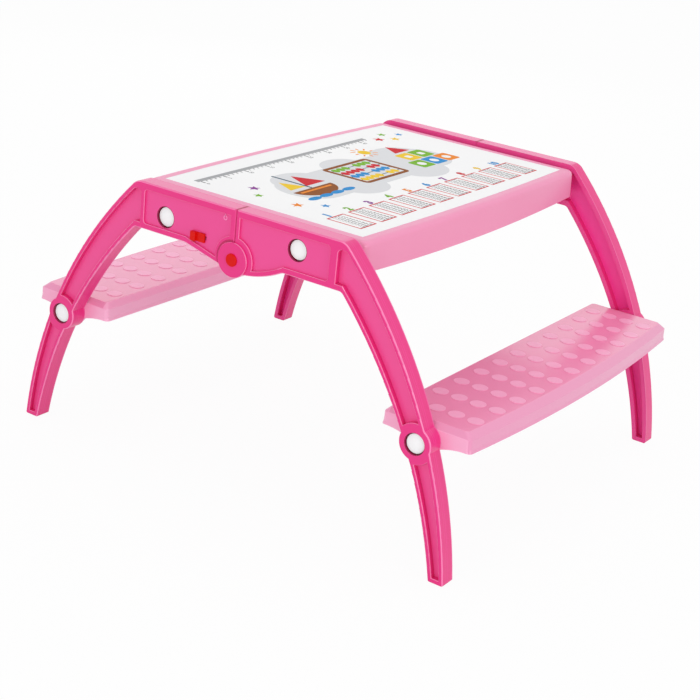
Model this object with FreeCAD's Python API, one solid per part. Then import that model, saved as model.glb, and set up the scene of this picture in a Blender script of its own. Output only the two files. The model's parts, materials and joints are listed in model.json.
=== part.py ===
import FreeCAD, Part
import math
import os

# Folding study table with a bench on each side, for small children.
# Two pairs of curved leg-and-arm mouldings meet at hinges under the middle of the table.
# X runs from bench to bench, Y from the near side to the far side, Z up from the floor.
# The origin is on the floor under the middle of the table. All sizes are millimetres.

V = FreeCAD.Vector

# Driving dimensions: the stance
table_height = 427.0
frame_depth = 672.0
foot_half_span = 386.0
foot_width = 24.0

# Driving dimensions: the leg-and-arm mouldings
moulding_depth = 26.0
shoulder_reach = 180.2
shoulder_radius = 22.0
knee_reach = 180.0
knee_radius = 10.0
leg_outer_radius = 722.0
leg_inner_radius = 738.0
arm_height = 68.5
edge_radius = 2.5
mouth_radius = 1.2
foot_radius = 3.0
web_thickness = 4.0
panel_recess = 4.0
panel_top_rim = 10.5
panel_bottom_rim = 8.5
panel_corner_radius = 5.0
right_panel_start = 6.5
right_panel_end = 157.0
right_ridge = 12.0
left_panel_start = 9.0
left_panel_end = 164.0
left_ridge = 6.5
leg_slot_top_rim = 12.0
leg_slot_depth = 9.0
leg_flange = 6.5
leg_slot_corner = 6.0
foot_web = 7.0
arm_rib_thickness = 3.0
arm_rib_reach = 95.0
arm_rib_pitch = 34.0

# Driving dimensions: the undersides of the arms beside the hinge
right_under_reach = 83.0
right_under_sag = 5.7
left_under_reach = 87.0
under_blend_radius = 14.0
under_end_drop = 90.2

# Driving dimensions: the hinge
hinge_drop = 71.0
hinge_disc_radius = 25.0
hinge_disc_proud = 3.0
hinge_disc_edge = 1.0
hinge_land_radius = 32.5
hinge_lap = 13.0
hinge_side_gap = 0.3
hinge_radial_gap = 0.4
split_gap = 0.5
pin_radius = 5.0
pin_bore_gap = 0.05
pin_head_radius = 8.0
pin_head_depth = 4.0
pin_cap_radius = 9.25
pin_cap_height = 2.2
pin_cap_edge = 1.1
pin_end = 1.0
clip_thickness = 1.5
clip_width = 4.5

# Driving dimensions: the bolts, the pegs and their white caps
bolt_radius = 4.0
bolt_gap = 0.2
bolt_head_radius = 7.5
bolt_head_height = 5.0
bolt_end = 2.0
nut_radius = 7.5
nut_height = 6.5
bolt_seat_depth = 9.0
cap_radius = 13.8
cap_gap = 1.3
cap_sink = 3.4
cap_dome = 1.6
cap_cavity_gap = 0.4
arm_boss_radius = 18.5
tray_bolt_reach = 102.5
tray_bolt_drop = 32.0
peg_reach = 126.5
peg_drop = 43.0
peg_radius = 6.0
peg_overlap = 7.5

# Driving dimensions: the slide latches
latch_reach = 64.5
latch_drop = 55.0
knob_length = 23.0
knob_height = 13.0
knob_thickness = 2.5
thumb_length = 9.0
thumb_height = 3.7
knob_edge = 0.5
latch_travel = 9.0
latch_gap = 0.4
stem_length = 7.0
stem_height = 5.0
bar_height = 6.0
bar_thickness = 4.0
bar_lap_offset = 2.0
bar_tail = 10.0
bar_nose_inset = 0.6

# Driving dimensions: the table top
tray_drop = 5.0
tray_side_gap = 5.0
tray_half_length = 191.0
tray_end_bow = 6.0
tray_apron = 48.0
tray_apron_rise = 6.0
tray_draft = 2.0
tray_wall = 3.5
tray_corner_radius = 14.0
tray_edge_radius = 8.0
tray_rib_depth = 14.0
tray_rib_thickness = 3.0
tray_rib_pairs_x = 1
tray_rib_pairs_y = 2
tray_boss_radius = 14.0
tray_boss_depth = 10.0
peg_slot_gap = 2.5
peg_slot_shift = 1.0
peg_rest_gap = 0.3
sheet_end_margin = 19.0
sheet_side_margin = 21.0
sheet_thickness = 1.2
sheet_gap = 0.3

# Driving dimensions: the benches
seat_height = 213.0
bench_skirt = 27.0
bench_bolt_drop = 26.5
bench_bolt_inset = 1.5
bench_boss_radius = 25.0
bench_boss_land = 4.0
bench_top_width = 119.0
bench_top_inset = 60.0
bench_bevel_drop = 8.5
bench_bevel_inner = 8.0
bench_bevel_outer = 9.0
bench_bevel_end = 7.5
bench_draft = 0.5
bench_lip = 1.5
bench_lip_height = 5.0
bench_top_bow = 12.0
bench_skirt_bow = 15.0
bench_corner_radius = 6.5
bench_edge_radius = 1.5
bench_wall = 3.0
bench_rib_depth = 16.0
bench_rib_thickness = 2.5
bench_rib_pairs = 2
lug_thickness = 8.0
lug_radius = 22.0
lug_sweep_radius = 108.0
dot_radius = 11.5
dot_height = 0.6
dot_root = 1.5
dot_rows = 4
dot_columns = 11
dot_end_margin = 45.5
dot_inner_margin = 15.5
dot_outer_margin = 14.1
dot_row_bow = 10.0

# Places that follow from the sizes above
outer_face = frame_depth / 2
inner_face = outer_face - moulding_depth
arm_under = table_height - arm_height
hinge_height = table_height - hinge_drop
tray_top = table_height - tray_drop
tray_bottom = tray_top - tray_apron
tray_half_width = inner_face - tray_side_gap
bench_bottom = seat_height - bench_skirt
bench_bolt_height = seat_height - bench_bolt_drop
bench_rib_pitch = inner_face / (bench_rib_pairs + 1)
dot_pitch_x = (bench_top_width - dot_inner_margin - dot_outer_margin) / (dot_rows - 1)
dot_pitch_y = 2 * (inner_face - dot_end_margin) / (dot_columns - 1)
tray_rib_pitch_x = tray_half_length / (tray_rib_pairs_x + 2)
tray_rib_pitch_y = tray_half_width / (tray_rib_pairs_y + 1)
far = 4 * table_height

# Places closer together than this are taken as one
same = 1e-3


def point(x, z):
    """A point of a side outline, drawn in the XZ plane."""
    return V(x, 0, z)


def circle_centre(start, end, radius):
    """Centre of the arc of a given radius that bulges away from the middle of the table."""
    chord = end - start
    half = chord.Length / 2
    away = V(-chord.z, 0, chord.x).normalize()
    return (start + end) / 2 + away * -math.copysign(math.sqrt(radius**2 - half**2), away.x)


def reach_at(centre, radius, height):
    """X of the outward side of a circle at one height."""
    return centre.x + math.sqrt(radius**2 - (height - centre.z)**2)


def arc_on(centre, radius, high, low):
    """Arc of the outward side of a circle from one height down to another."""
    middle = (high + low) / 2
    ends = [point(reach_at(centre, radius, z), z) for z in (high, middle, low)]
    return Part.Arc(*ends).toShape()


def line(start, end):
    return Part.LineSegment(start, end).toShape()


def polyline(points):
    return [line(a, b) for a, b in zip(points, points[1:])]


def slab(edges, start, depth):
    """Extrude a side outline inward: start is the depth below the near outer face."""
    face = Part.Face(Part.Wire(edges))
    face.translate(V(0, start - outer_face, 0))
    return face.extrude(V(0, depth, 0))


def rod(x, z, radius, start, end):
    """Cylinder along Y between two depths below the near outer face."""
    return Part.makeCylinder(radius, end - start, V(x, start - outer_face, z), V(0, 1, 0))


def block(low, high):
    """Box between two corners."""
    size = high - low
    return Part.makeBox(size.x, size.y, size.z, low)


def hexagon(x, z, radius, start, end):
    """Hexagonal prism along Y between two depths."""
    turns = [math.radians(60 * k) for k in range(7)]
    corners = [point(x + radius * math.cos(t), z + radius * math.sin(t)) for t in turns]
    return slab(polyline(corners), start, end - start)


def runs_along_y(edge):
    a, b = edge.Vertexes[0].Point, edge.Vertexes[-1].Point
    return (b - a).Length > same and abs(abs(b.y - a.y) - (b - a).Length) < same


def round_at(solid, corners, radius):
    """Round the edges along Y that pass through the given side corners."""
    chosen = []
    for edge in solid.Edges:
        if runs_along_y(edge):
            spot = edge.Vertexes[0].Point
            if any(math.hypot(spot.x - c.x, spot.z - c.z) < same for c in corners):
                chosen.append(edge)
    return solid.makeFillet(radius, chosen)


def edges_at_depth(solid, depth):
    """Edges that lie wholly in the plane at one depth."""
    y = depth - outer_face
    return [e for e in solid.Edges if abs(e.BoundBox.YMin - y) < same and abs(e.BoundBox.YMax - y) < same]


def mouth_edges(solid):
    """Edges in the near outer face where the walls of a panel, a channel or a bolt seat begin."""
    chosen = []
    for face in solid.Faces:
        box = face.BoundBox
        if abs(box.YMin + outer_face) < same and box.YLength > edge_radius + same:
            chosen += edges_at_depth(face, 0)
    return chosen


def both_sides(solid):
    """The near solid and its mirror image on the far side."""
    return solid, solid.mirror(V(0, 0, 0), V(0, 1, 0))


def to_left(solid):
    return solid.mirror(V(0, 0, 0), V(1, 0, 0))


def pair(solid):
    """One node of two like pieces, near and far."""
    return Part.makeCompound(list(both_sides(solid)))


def save(name, shape):
    shape.exportStep("parts/%s.step" % name)


# The two edges of a leg are arcs from the arm down to the foot.
outer_top = point(shoulder_reach, table_height)
outer_foot = point(foot_half_span, 0)
inner_top = point(knee_reach, arm_under)
inner_foot = point(foot_half_span - foot_width, 0)
outer_centre = circle_centre(outer_top, outer_foot, leg_outer_radius)
inner_centre = circle_centre(inner_top, inner_foot, leg_inner_radius)
slot_outer_radius = leg_outer_radius - leg_flange
slot_inner_radius = leg_inner_radius + leg_flange

# The bench bolt sits on the leg, just inside its middle line.
leg_outside = reach_at(outer_centre, leg_outer_radius, bench_bolt_height)
leg_inside = reach_at(inner_centre, leg_inner_radius, bench_bolt_height)
bench_bolt_reach = (leg_outside + leg_inside) / 2 - bench_bolt_inset


def underside(reach, sag, rise=0.0, start=0.0):
    """Line of an arm's underside from the straight part to the hinge."""
    high = point(reach, arm_under + rise)
    low = point(start, table_height - under_end_drop + rise)
    if sag == 0:
        return line(high, low)
    across = (high + low) / 2
    return Part.Arc(high, point(across.x, across.z - sag), low).toShape()


def leg_region(inside, start, depth):
    """Hollow that runs down a leg from a reach inside the shoulder, broken at the bench boss."""
    high = table_height - leg_slot_top_rim
    low = arm_under + panel_bottom_rim
    outer = arc_on(outer_centre, slot_outer_radius, high, foot_web)
    inner = arc_on(inner_centre, slot_inner_radius, low, foot_web)
    top = [point(inside, low), point(inside, high), outer.Vertexes[0].Point]
    bottom = line(outer.Vertexes[-1].Point, inner.Vertexes[-1].Point)
    close = line(inner.Vertexes[0].Point, top[0])
    region = slab(polyline(top) + [outer, bottom, inner, close], start, depth)
    region = round_at(region, top[1:], leg_slot_corner)
    land = rod(bench_bolt_reach, bench_bolt_height, bench_boss_radius + bench_boss_land, start, start + depth)
    return region.cut(land)


def panel_region(reach, sag, ends, start, depth):
    """Sunk panel of an arm between two ends, clear of the round land about the hinge."""
    high = table_height - panel_top_rim
    low = arm_under + panel_bottom_rim
    curve = underside(reach, sag, panel_bottom_rim, ends[0])
    corners = [curve.Vertexes[-1].Point, point(ends[0], high)]
    corners += [point(ends[1], high), point(ends[1], low), point(reach, low)]
    region = slab(polyline(corners) + [curve], start, depth)
    region = round_at(region, corners[2:4], panel_corner_radius)
    return region.cut(rod(0, hinge_height, hinge_land_radius, start, start + depth))


def side_moulding(reach, sag, panel_ends, ridge, bolt_reach, bolt_height, bolt_hole):
    """Near moulding of one side, drawn towards +X, before its hinge parts are made."""
    split = split_gap / 2
    under = underside(reach, sag, 0.0, split)
    outer = arc_on(outer_centre, leg_outer_radius, table_height, 0)
    inner = arc_on(inner_centre, leg_inner_radius, arm_under, 0)
    edges = polyline([under.Vertexes[-1].Point, point(split, table_height), outer_top])
    edges += [outer, line(outer_foot, inner_foot), inner, line(inner_top, point(reach, arm_under)), under]
    solid = slab(edges, 0, moulding_depth)
    solid = round_at(solid, [outer_top], shoulder_radius)
    solid = round_at(solid, [inner_top], knee_radius)
    solid = round_at(solid, [point(reach, arm_under)], under_blend_radius)
    solid = round_at(solid, [outer_foot, inner_foot], foot_radius)
    solid = solid.makeFillet(edge_radius, edges_at_depth(solid, 0))
    knuckle = rod(bench_bolt_reach, bench_bolt_height, bench_boss_radius, 0, moulding_depth)
    knuckle = knuckle.makeFillet(edge_radius, edges_at_depth(knuckle, 0))
    solid = solid.fuse(knuckle)

    # The outer face has a shallow panel on the arm and a deeper channel down the leg.
    boss = rod(bolt_reach, bolt_height, arm_boss_radius, panel_recess, moulding_depth)
    channel = panel_ends[1] + ridge
    cuts = [panel_region(reach, sag, panel_ends, 0, panel_recess), leg_region(channel, 0, leg_slot_depth)]

    # The inner face is hollow up to a thin web, with upright ribs and a boss in the arm.
    floor = panel_recess + web_thickness
    hollow = panel_region(reach, sag, panel_ends, floor, moulding_depth - floor).cut(boss)
    for step in (-1, 0, 1):
        x = arm_rib_reach + step * arm_rib_pitch
        low = V(x - arm_rib_thickness / 2, -outer_face, arm_under)
        high = V(x + arm_rib_thickness / 2, -inner_face, table_height)
        hollow = hollow.cut(block(low, high))
    floor = leg_slot_depth + web_thickness
    cuts += [hollow, leg_region(channel, floor, moulding_depth - floor)]

    # Each bolt has a wide seat for its cap and a through hole.
    places = [(bolt_reach, bolt_height, bolt_hole, panel_recess)]
    places.append((bench_bolt_reach, bench_bolt_height, bolt_radius, 0))
    for x, z, hole, surface in places:
        seat = surface + bolt_seat_depth
        cuts.append(rod(x, z, cap_radius + cap_gap, -edge_radius, seat))
        cuts.append(rod(x, z, hole + bolt_gap, seat, moulding_depth))
    for tool in cuts:
        solid = solid.cut(tool)
    return solid.makeFillet(mouth_radius, mouth_edges(solid))


def latch_space(x_from, x_to, grow):
    """Passage of a latch bar through the hinge, grown by a clearance, drawn towards +X."""
    z = table_height - latch_drop
    start = hinge_lap + bar_lap_offset
    low = V(x_from, start - grow - outer_face, z - bar_height / 2 - grow)
    high = V(x_to, start + bar_thickness + grow - outer_face, z + bar_height / 2 + grow)
    return block(low, high)


# Latch lengths: at rest the bar ends inside the left arm's tongue, so that the table can fold.
bar_top = hinge_drop - latch_drop + bar_height / 2
bar_nose = math.sqrt((hinge_disc_radius - bar_nose_inset)**2 - bar_top**2)


def right_moulding():
    """Right near moulding: its hinge disc lies in the outer half of the depth."""
    solid = side_moulding(right_under_reach, right_under_sag, (right_panel_start, right_panel_end),
                          right_ridge, tray_bolt_reach, table_height - tray_bolt_drop, bolt_radius)
    disc = rod(0, hinge_height, hinge_disc_radius, -hinge_disc_proud, hinge_lap)
    disc = disc.makeFillet(hinge_disc_edge, edges_at_depth(disc, -hinge_disc_proud))
    bore = rod(0, hinge_height, pin_radius + pin_bore_gap, -hinge_disc_proud, hinge_lap)
    seat = rod(0, hinge_height, pin_head_radius + pin_bore_gap, -hinge_disc_proud,
               pin_head_depth - hinge_disc_proud)
    room = rod(0, hinge_height, hinge_disc_radius + hinge_radial_gap, hinge_lap, moulding_depth)
    solid = solid.cut(room).fuse(disc).cut([bore, seat])
    return solid.cut(latch_space(0, bar_nose + latch_travel + latch_gap, latch_gap)).removeSplitter()


def left_moulding():
    """Left near moulding: its hinge tongue lies in the inner half, with the latch passage."""
    solid = side_moulding(left_under_reach, 0, (left_panel_start, left_panel_end),
                          left_ridge, peg_reach, table_height - peg_drop, peg_radius)
    tongue_start = hinge_lap + hinge_side_gap
    room = rod(0, hinge_height, hinge_disc_radius + hinge_radial_gap, -edge_radius, tongue_start)
    tongue = rod(0, hinge_height, hinge_disc_radius, tongue_start, moulding_depth)
    bore = rod(0, hinge_height, pin_radius + pin_bore_gap, tongue_start, moulding_depth)
    solid = solid.cut(room).fuse(tongue).cut(bore)
    solid = solid.cut(latch_space(-hinge_disc_radius - latch_gap, latch_reach + bar_tail + latch_gap, latch_gap))

    # The slot for the knob's stem goes through the panel.
    low = latch_reach + stem_length / 2 - latch_travel - stem_length - latch_gap
    high = latch_reach + stem_length / 2 + latch_gap
    z = table_height - latch_drop
    half = stem_height / 2 + latch_gap
    slot = block(V(low, -outer_face, z - half), V(high, -inner_face, z + half))
    return to_left(solid.cut(slot).removeSplitter())


def latch_knob():
    """Red thumb knob with its stem, lying on the near left panel."""
    z = table_height - latch_drop
    back = panel_recess - latch_gap
    front = back - knob_thickness
    start = V(-latch_reach - knob_length / 2, front - outer_face, z - knob_height / 2)
    plate = Part.makeBox(knob_length, knob_thickness, knob_height, start)
    thumb = Part.makeBox(thumb_length, thumb_height, knob_height, start - V(0, thumb_height, 0))
    stem_end = hinge_lap + bar_lap_offset
    stem_low = V(-latch_reach - stem_length / 2, back - outer_face, z - stem_height / 2)
    stem = Part.makeBox(stem_length, stem_end - back, stem_height, stem_low)
    top = plate.fuse([thumb, stem]).removeSplitter()
    return top.makeFillet(knob_edge, edges_at_depth(top, front - thumb_height))


def latch_bar():
    """Flat bar behind the near left panel, from the stem to inside the hinge tongue."""
    return latch_space(-latch_reach - bar_tail, bar_nose, 0)


def bolt(x, z, radius, surface, end):
    """Round-headed bolt from its seat below a face of the near moulding to a depth inside."""
    seat = surface + bolt_seat_depth
    head = rod(x, z, bolt_head_radius, seat - bolt_head_height, seat)
    return head.fuse(rod(x, z, radius, seat, end)).removeSplitter()


def cap(x, z, surface):
    """Domed white cap over a bolt head, sunk below a face of the near moulding."""
    seat = surface + bolt_seat_depth
    crown = surface + cap_sink - cap_dome
    ball = (cap_radius**2 + cap_dome**2) / (2 * cap_dome)
    shell = rod(x, z, cap_radius, surface, seat)
    dome = Part.makeSphere(ball, V(x, crown + ball - outer_face, z))
    cavity = rod(x, z, bolt_head_radius + cap_cavity_gap, seat - bolt_head_height, seat)
    return shell.common(dome).cut(cavity)


def nut(x, z, start):
    """Hexagonal nut on a bolt, inside the piece that the bolt holds."""
    body = hexagon(x, z, nut_radius, start, start + nut_height)
    return body.cut(rod(x, z, bolt_radius + pin_bore_gap, start, start + nut_height))


def clip(x, z, radius):
    """Push-on clip that holds a pin on the inner face of the near moulding."""
    end = moulding_depth + clip_thickness
    ring = rod(x, z, radius + clip_width, moulding_depth, end)
    return ring.cut(rod(x, z, radius + pin_bore_gap, moulding_depth, end))


def hinge_pin():
    """Pin with a sunk head, through the disc and the tongue."""
    head_end = pin_head_depth - hinge_disc_proud
    head = rod(0, hinge_height, pin_head_radius, -hinge_disc_proud, head_end)
    shank = rod(0, hinge_height, pin_radius, head_end, moulding_depth + clip_thickness + pin_end)
    return head.fuse(shank).removeSplitter()


def pin_cap():
    """Red button over the pin's head."""
    button = rod(0, hinge_height, pin_cap_radius, -hinge_disc_proud - pin_cap_height, -hinge_disc_proud)
    return button.makeFillet(pin_cap_edge, edges_at_depth(button, -hinge_disc_proud - pin_cap_height))


def tray_outline(inset, z):
    """Plan outline of the tray or of the sheet: straight sides and bowed ends."""
    length = tray_half_length - inset.x
    half = tray_half_width - inset.y
    a, b = V(-length, -half, z), V(length, -half, z)
    c, d = V(length, half, z), V(-length, half, z)
    right = Part.Arc(b, V(length + tray_end_bow, 0, z), c).toShape()
    left = Part.Arc(d, V(-length - tray_end_bow, 0, z), a).toShape()
    return Part.Wire([line(a, b), right, line(c, d), left])


def round_upright(solid, radius):
    """Round the corner edges that rise from the bottom outline to the top one."""
    box = solid.BoundBox
    chosen = [e for e in solid.Edges if e.BoundBox.ZLength > box.ZLength - same]
    return solid.makeFillet(radius, chosen)


def edges_at_height(solid, z):
    return [e for e in solid.Edges if abs(e.BoundBox.ZMin - z) < same and abs(e.BoundBox.ZMax - z) < same]


def tray_form(inset):
    """Outside of the tray, or its hollow when it is drawn in by the wall."""
    foot = tray_outline(V(inset, inset, 0), tray_bottom - inset)
    drawn_in = inset + tray_draft
    top = tray_outline(V(drawn_in, drawn_in, 0), tray_top - inset)
    return round_upright(Part.makeLoft([foot, top], True, True), tray_corner_radius - inset)


def sheet_slab(inset, start, thickness):
    """Plate with the outline of the printed sheet."""
    outline = tray_outline(V(sheet_end_margin + inset, sheet_side_margin + inset, 0), start)
    return Part.Face(outline).extrude(V(0, 0, thickness))


def table_top():
    """One-piece tray: rounded rim, drafted apron, ribs below, bosses and peg slots at its sides."""
    outside = tray_form(0)
    outside = outside.makeFillet(tray_edge_radius, edges_at_height(outside, tray_top))
    hollow = tray_form(tray_wall)
    rib_low = tray_top - tray_wall - tray_rib_depth
    ribs = []
    for step in range(-tray_rib_pairs_x, tray_rib_pairs_x + 1):
        x = step * tray_rib_pitch_x - tray_rib_thickness / 2
        ribs.append(block(V(x, -tray_half_width, rib_low), V(x + tray_rib_thickness, tray_half_width, tray_top)))
    for step in range(-tray_rib_pairs_y, tray_rib_pairs_y + 1):
        y = step * tray_rib_pitch_y - tray_rib_thickness / 2
        ribs.append(block(V(-far, y, rib_low), V(far, y + tray_rib_thickness, tray_top)))
    solid = outside.cut(hollow.cut(ribs))

    # The apron's lower edge rises a little from its middle towards the near and far sides.
    rise = [V(-far, -tray_half_width, tray_bottom + tray_apron_rise), V(-far, 0, tray_bottom)]
    rise.append(V(-far, tray_half_width, tray_bottom + tray_apron_rise))
    ends = [V(-far, tray_half_width, 0), V(-far, -tray_half_width, 0)]
    below = [Part.Arc(*rise).toShape()] + polyline([rise[2]] + ends + [rise[0]])
    solid = solid.cut(Part.Face(Part.Wire(below)).extrude(V(2 * far, 0, 0)))

    # Bosses meet the right arms; slots open downward over the left arms' pegs.
    tools = [sheet_slab(0, tray_top - sheet_thickness, sheet_thickness)]
    z = table_height - tray_bolt_drop
    bosses = []
    for boss in both_sides(rod(tray_bolt_reach, z, tray_boss_radius, moulding_depth,
                               moulding_depth + tray_boss_depth)):
        bosses.append(boss)
    for hole in both_sides(rod(tray_bolt_reach, z, bolt_radius + bolt_gap, moulding_depth,
                               moulding_depth + tray_boss_depth)):
        tools.append(hole)
    half = peg_radius + peg_slot_gap
    x = -peg_reach - peg_slot_shift
    crown = table_height - peg_drop + peg_radius + peg_rest_gap - half
    end = moulding_depth + tray_side_gap + 2 * tray_wall + tray_draft
    slot = rod(x, crown, half, moulding_depth, end)
    low = V(x - half, -inner_face, tray_bottom)
    slot = slot.fuse(block(low, V(x + half, end - outer_face, crown)))
    tools += both_sides(slot)
    return solid.fuse(bosses).cut(tools).removeSplitter()


def bench_outline(x_in, x_out, half, bow, corner, z):
    """Plan outline of the right bench: straight inside, bowed outside and rounded corners."""
    turn = corner * (1 - math.sqrt(0.5))
    far_out = Part.Arc(V(x_out, half - corner, z), V(x_out - turn, half - turn, z), V(x_out - corner, half, z))
    far_in = Part.Arc(V(x_in + corner, half, z), V(x_in + turn, half - turn, z), V(x_in, half - corner, z))
    near_in = Part.Arc(V(x_in, corner - half, z), V(x_in + turn, turn - half, z), V(x_in + corner, -half, z))
    near_out = Part.Arc(V(x_out - corner, -half, z), V(x_out - turn, turn - half, z), V(x_out, corner - half, z))
    turns = [arc.toShape() for arc in (far_out, far_in, near_in, near_out)]
    ends = [arc.Vertexes[-1].Point for arc in turns]
    starts = [arc.Vertexes[0].Point for arc in turns]
    edges = []
    for k in range(3):
        edges += [turns[k], line(ends[k], starts[k + 1])]
    outside = Part.Arc(ends[3], V(x_out + bow, 0, z), starts[0]).toShape()
    return Part.Wire(edges + [turns[3], outside])


# The inner and outer lower edges of the right bench
bench_grow = bench_draft + bench_lip
bench_x_in = bench_bolt_reach - bench_top_inset - bench_bevel_inner - bench_grow
bench_x_out = bench_bolt_reach - bench_top_inset + bench_top_width + bench_bevel_outer + bench_grow


def bench_form(inset):
    """Outside of the right bench, or its hollow when it is drawn in by the wall."""
    corner = bench_corner_radius - inset
    half = inner_face - inset
    x_in, x_out = bench_x_in + inset, bench_x_out - inset
    sections = [bench_outline(x_in, x_out, half, bench_skirt_bow, corner, bench_bottom - inset)]
    for step, z in ((bench_lip, bench_bottom + bench_lip_height), (bench_draft, seat_height - bench_bevel_drop)):
        x_in += step
        x_out -= step
        sections.append(bench_outline(x_in, x_out, half, bench_skirt_bow, corner, z - inset))
    x_in += bench_bevel_inner
    x_out -= bench_bevel_outer
    half -= bench_bevel_end
    sections.append(bench_outline(x_in, x_out, half, bench_top_bow, corner, seat_height - inset))
    return Part.makeLoft(sections, True, True)


def bench():
    """Right bench: dotted seat, lipped skirt, ribs below and a lug at each end for its bolt."""
    outside = bench_form(0)
    outside = outside.makeFillet(bench_edge_radius, edges_at_height(outside, seat_height))
    low = seat_height - bench_wall - bench_rib_depth
    ribs = []
    for step in range(-bench_rib_pairs, bench_rib_pairs + 1):
        y = step * bench_rib_pitch - bench_rib_thickness / 2
        ribs.append(block(V(0, y, low), V(far, y + bench_rib_thickness, seat_height)))
    x = bench_bolt_reach - bench_rib_thickness / 2
    ribs.append(block(V(x, -inner_face, low), V(x + bench_rib_thickness, inner_face, seat_height)))
    solid = outside.cut(bench_form(bench_wall).cut(ribs))

    # The end wall sweeps down from both corners to a lug behind the leg's boss, which carries the bolt.
    end = moulding_depth + lug_thickness
    left, right = bench_x_in + bench_corner_radius, bench_x_out - bench_corner_radius
    top = seat_height - bench_bevel_drop
    corners = [point(left, bench_bottom), point(left, top), point(right, top), point(right, bench_bottom)]
    sweeps = []
    for side, reach in ((1, right), (-1, left)):
        stop = bench_bolt_reach + side * lug_radius
        spots = []
        for x in (reach, (reach + stop) / 2, stop):
            fall = lug_sweep_radius - math.sqrt(lug_sweep_radius**2 - (reach - x)**2)
            spots.append(point(x, bench_bottom - fall))
        sweeps.append(Part.Arc(*spots).toShape())
    lows = [sweep.Vertexes[-1].Point for sweep in sweeps]
    edges = polyline(corners) + [sweeps[0], line(lows[0], lows[1]), sweeps[1]]
    plate = slab(edges, moulding_depth, lug_thickness)
    lug = plate.fuse(rod(bench_bolt_reach, bench_bolt_height, lug_radius, moulding_depth, end))
    hole = rod(bench_bolt_reach, bench_bolt_height, bolt_radius + bolt_gap, moulding_depth, end)
    solid = solid.fuse(list(both_sides(lug))).cut(list(both_sides(hole)))

    # Raised round dots keep a sitter from sliding. Their rows bow outward with the seat's edge.
    dots = []
    for row in range(dot_rows):
        for column in range(dot_columns):
            y = (column - (dot_columns - 1) / 2) * dot_pitch_y
            x = bench_bolt_reach - bench_top_inset + dot_inner_margin + row * dot_pitch_x
            x += dot_row_bow * (1 - (y / inner_face)**2)
            foot = V(x, y, seat_height - dot_root)
            dots.append(Part.makeCylinder(dot_radius, dot_root + dot_height, foot))
    return solid.fuse(dots).removeSplitter()


os.makedirs("parts", exist_ok=True)

# Mouldings of both frames
near, far_side = both_sides(right_moulding())
save("leg_near_right", near)
save("leg_far_right", far_side)
near, far_side = both_sides(left_moulding())
save("leg_near_left", near)
save("leg_far_left", far_side)

# Table top and printed sheet
save("table_top", table_top())
save("top_sheet", sheet_slab(sheet_gap, tray_top - sheet_thickness, sheet_thickness))

# Benches
seat = bench()
save("bench_right", seat)
save("bench_left", to_left(seat))

# Bolts, nuts and caps of the benches
lug_end = moulding_depth + lug_thickness
bench_bolt = pair(bolt(bench_bolt_reach, bench_bolt_height, bolt_radius, 0, lug_end + nut_height + bolt_end))
bench_nut = pair(nut(bench_bolt_reach, bench_bolt_height, lug_end))
bench_cap = pair(cap(bench_bolt_reach, bench_bolt_height, 0))
for name, shape in (("bench_bolts", bench_bolt), ("bench_nuts", bench_nut), ("bench_caps", bench_cap)):
    save(name + "_right", shape)
    save(name + "_left", to_left(shape))

# Bolts of the tray in the right arms
tray_bolt_height = table_height - tray_bolt_drop
boss_end = moulding_depth + tray_boss_depth
bolt_length_end = boss_end + nut_height + bolt_end
save("tray_bolts", pair(bolt(tray_bolt_reach, tray_bolt_height, bolt_radius, panel_recess, bolt_length_end)))
save("tray_nuts", pair(nut(tray_bolt_reach, tray_bolt_height, boss_end)))
save("arm_caps_right", pair(cap(tray_bolt_reach, tray_bolt_height, panel_recess)))

# Pegs of the left arms under the tray
peg_height = table_height - peg_drop
peg_end = moulding_depth + tray_side_gap + tray_wall + peg_overlap
save("rest_pegs", pair(bolt(-peg_reach, peg_height, peg_radius, panel_recess, peg_end)))
save("peg_clips", pair(clip(-peg_reach, peg_height, peg_radius)))
save("arm_caps_left", pair(cap(-peg_reach, peg_height, panel_recess)))

# Hinge pins
save("hinge_pins", pair(hinge_pin()))
save("hinge_pin_caps", pair(pin_cap()))
save("hinge_clips", pair(clip(0, hinge_height, pin_radius)))

# Slide latches
for side, knob, bar in zip(("near", "far"), both_sides(latch_knob()), both_sides(latch_bar())):
    save("latch_knob_" + side, knob)
    save("latch_bar_" + side, bar)
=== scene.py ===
# %% [markdown]
# # A folding study table with two benches
# This lesson dresses a packed construction model: the solids stay as they are, and
# every surface gets a finish. The thin things that a solid model leaves out, such as
# the printed layer on the table top, are modelled here.
# We start by loading the solids as a fixed frame.

# %% Load the frame
import json
import math

import bpy
from mathutils import Matrix, Vector


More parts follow.
